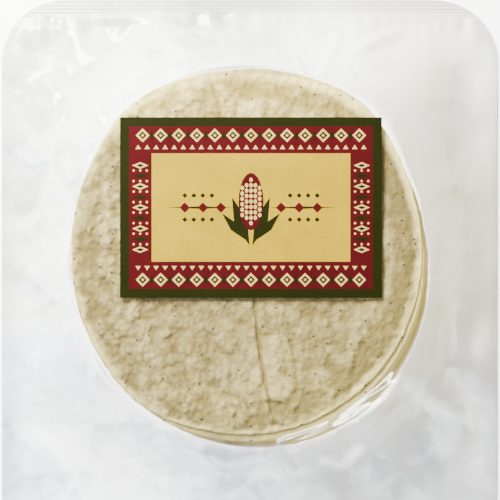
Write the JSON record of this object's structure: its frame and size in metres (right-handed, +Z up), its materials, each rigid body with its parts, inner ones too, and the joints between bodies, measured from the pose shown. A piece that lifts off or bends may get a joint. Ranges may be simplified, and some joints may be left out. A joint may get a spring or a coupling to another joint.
{
  "type": "packed corn tortilla stack",
  "caption": "Stack of small round corn tortillas in a clear heat-sealed pouch lying flat, with a rectangular paper label on top.",
  "frame": {"origin": "middle of the pouch's underside", "axes": "+Z up, square to the table the pouch lies on; +Y along the pouch towards the end with the wide heat seal, the label's upper side; +X to the label's right"},
  "size_m": [0.172, 0.194, 0.0308],
  "materials": {
    "film": "clear glossy pouch film, crumpled, over pale corn tortillas",
    "label": "printed coated paper, dark red and green frame round a sand-gold panel",
    "tortilla": "baked corn flatbread, matt and slightly floury, cream rim, low bumps and a few brown flecks"
  },
  "bodies": {
    "root": {"bag": "film", "label": "label"}
  },
  "joints": []
}
